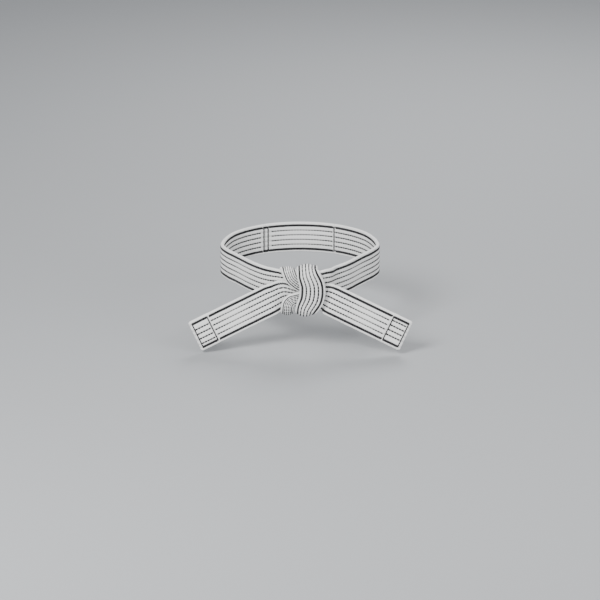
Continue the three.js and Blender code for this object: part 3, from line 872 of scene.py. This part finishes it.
ROOT_INSIDE = 12.0  # where the waist hands over to each tail, inside the knot
ROOT_OUTSIDE = 28.0  # where the root of a tail hands over to its tip
PANEL_GAP = 0.12  # half the gap between two panels
FOLD_RINGS = (0.15, 0.35, 0.6, 1.0)  # extra rings where a panel's end is folded in
LEFT_ROW_GAP = LEFT_SEAM_HALF + 1.5  # how far from each joint the rows stop
RIGHT_ROW_GAP = 1.6
THREAD_SIDE = {"needle": 1, "bobbin": -1}
KNOT_THREADS = {
    ("left", "bobbin"): ["left_knot_bobbin_thread"],
    ("right", "needle"): ["right_knot_needle_thread"],
}


def splice(sign):
    """Where two panels meet: -1 is the joint on the left and 1 the one on the right."""
    return place_to_s(BACK_MIDDLE + sign * SPLICE_ANGLE / BACK_STEP)


def add_waist_panel(name, start, end, row_gaps, nodes):
    """A panel of the waist. Its ends are folded in, unless they run on into a tail."""
    open_low, open_high = name != "left", name != "right"

    def profile(s):
        near = np.full(s.shape, FOLD_RINGS[-1])
        if open_low:
            near = np.minimum(near, s - start)
        if open_high:
            near = np.minimum(near, end - s)
        x = np.clip(near / FOLD_RINGS[-1], 0, 1)
        return np.ones(s.shape), 0.80 + 0.20 * np.sqrt(x * (2 - x))

    more_rings = [start + d for d in FOLD_RINGS] + [end - d for d in FOLD_RINGS]
    made = band(f"{name}_waist_band", start, end, profile=profile, more_rings=more_rings)
    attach(made, "waist")
    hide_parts(*nodes)
    for thread, side in THREAD_SIDE.items():
        group = row_stitches(start + row_gaps[0], end - row_gaps[1], open_low=open_low,
                             open_high=open_high)
        piece = stitches(f"{name}_waist_{thread}_stitches", group, side)
        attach(piece, "waist")
        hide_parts(f"{name}_waist_{thread}_thread", *KNOT_THREADS.get((name, thread), []))


def add_splice_seams():
    """The cross rows over the two joints, on the inner face. The left one has a pair of them,
    closed into a box by the edge rows."""
    low, high = splice(-1) - LEFT_SEAM_HALF, splice(-1) + LEFT_SEAM_HALF
    s = np.arange(low, high + 0.1, EDGE_PITCH)
    box_ends = [stitch_group(s, u, **EDGE_STITCH) for u in (ROWS[0], ROWS[-1])]
    box = joined(cross_row(low), cross_row(high), *box_ends)
    for side, group in (("left", box), ("right", cross_row(splice(1)))):
        piece = stitches(f"{side}_splice_stitches", group, -1, lift=0.35)
        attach(piece, "waist")
        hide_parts(f"{side}_splice_seam_thread")


# ---------------------------------------------------------------- the tails


def tail_span(side, inner, outer):
    """The two ends of a length of tail, the lower first, from their distances to the knot."""
    return sorted((tail_s(side, inner), tail_s(side, outer)))


def add_tail_length(side, part, ends, stitch_end):
    """A length of tail. Its ends and the place where its rows end are distances from the knot."""
    name = f"{side}_{part}"
    made = band(f"{name}_band", *tail_span(side, *ends))
    plies = [f"{name}_{ply}" for ply in ("cover", "outer_padding", "canvas", "inner_padding")]
    pieces = [(made, plies, "cover")]
    ends_here = part == "tip"
    for thread, face in THREAD_SIDE.items():
        group = row_stitches(*tail_span(side, ends[0], stitch_end),
                             open_low=ends_here and side == "left",
                             open_high=ends_here and side == "right")
        piece = stitches(f"{name}_{thread}_stitches", group, face)
        pieces.append((piece, [f"{name}_{thread}_thread"], "thread"))
    for piece, nodes, slot in pieces:
        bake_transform(piece)
        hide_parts(*nodes)


HEM_PAST_END = 1.0  # how far the hem reaches past the belt's end
TIP_ROUNDING = 3.4
HEM_EDGE = 0.7  # how far from its start the hem has its full thickness
START_SEAM_INSET = 1.6
END_SEAM_INSET = 3.2


def add_hem(side):
    """The strip of cover cloth folded over the belt's end, with its own rows."""
    tip = TAIL_LENGTH[side] + HEM_PAST_END
    start = TAIL_LENGTH[side] - HEM_LENGTH
    shift = HEM_ROW_SHIFT if side == "right" else -HEM_ROW_SHIFT
    rows = ROWS + np.array([0, shift, shift, shift, shift, 0])

    def profile(s):
        reach = np.abs(s - tail_s(side, 0))
        from_tip = np.clip(tip - reach, 0, TIP_ROUNDING) / TIP_ROUNDING
        round_tip = np.sqrt(np.clip(1 - (1 - from_tip) ** 2, 0, 1))
        from_start = np.clip((reach - start) / HEM_EDGE, 0, 1)
        width = (1.008 - 0.15 * (1 - round_tip)) * (0.985 + 0.015 * from_start)
        thickness = (0.34 + 0.66 * round_tip) * (0.72 + 0.28 * np.sqrt(from_start))
        return width, thickness

    reaches = [tip - x for x in (0.1, 0.3, 0.6, 1.0, 1.5, 2.2)]
    reaches += [start + x for x in (0.1, 0.3, 0.6)]
    more_rings = [tail_s(side, reach) for reach in reaches]
    made = band(f"{side}_hem_panel", *tail_span(side, start, tip), rows, HEM_WALL, profile,
                more_rings)
    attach(made, f"{side}_tip")
    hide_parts(f"{side}_hem")
    ends = tail_span(side, start + START_SEAM_INSET, TAIL_LENGTH[side] - END_SEAM_INSET)
    group = joined(row_stitches(*ends, rows), *(cross_row(s) for s in ends))
    for thread, face in THREAD_SIDE.items():
        piece = stitches(f"{side}_hem_{thread}_stitches", group, face, rows, HEM_WALL)
        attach(piece, f"{side}_tip")
        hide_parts(f"{side}_hem_{thread}_thread")


BELT_IN_HEM = 4.0  # how far the belt runs on inside the hem
ROW_TO_HEM = 0.6  # how far before the hem the rows stop

left_joint, right_joint = splice(-1), splice(1)
add_waist_panel("left", ROOT_INSIDE, left_joint - PANEL_GAP, (0, LEFT_ROW_GAP),
                ["left_waist_cover", "left_knot_core"])
add_waist_panel("back", left_joint + PANEL_GAP, right_joint - PANEL_GAP,
                (LEFT_ROW_GAP, RIGHT_ROW_GAP),
                ["back_waist_cover", "waist_outer_padding", "waist_canvas", "waist_inner_padding"])
add_waist_panel("right", right_joint + PANEL_GAP, ROUTE_LENGTH - ROOT_INSIDE,
                (RIGHT_ROW_GAP, 0), ["right_waist_cover", "right_knot_core"])
add_splice_seams()
for side in SIDES:
    add_tail_length(side, "tail", (-ROOT_INSIDE, ROOT_OUTSIDE), ROOT_OUTSIDE)
    hem_start, hinge = TAIL_LENGTH[side] - HEM_LENGTH, HINGE_REACH[side]
    add_tail_length(side, "tip", (ROOT_OUTSIDE, hem_start + BELT_IN_HEM), hem_start - ROW_TO_HEM)
    add_hem(side)
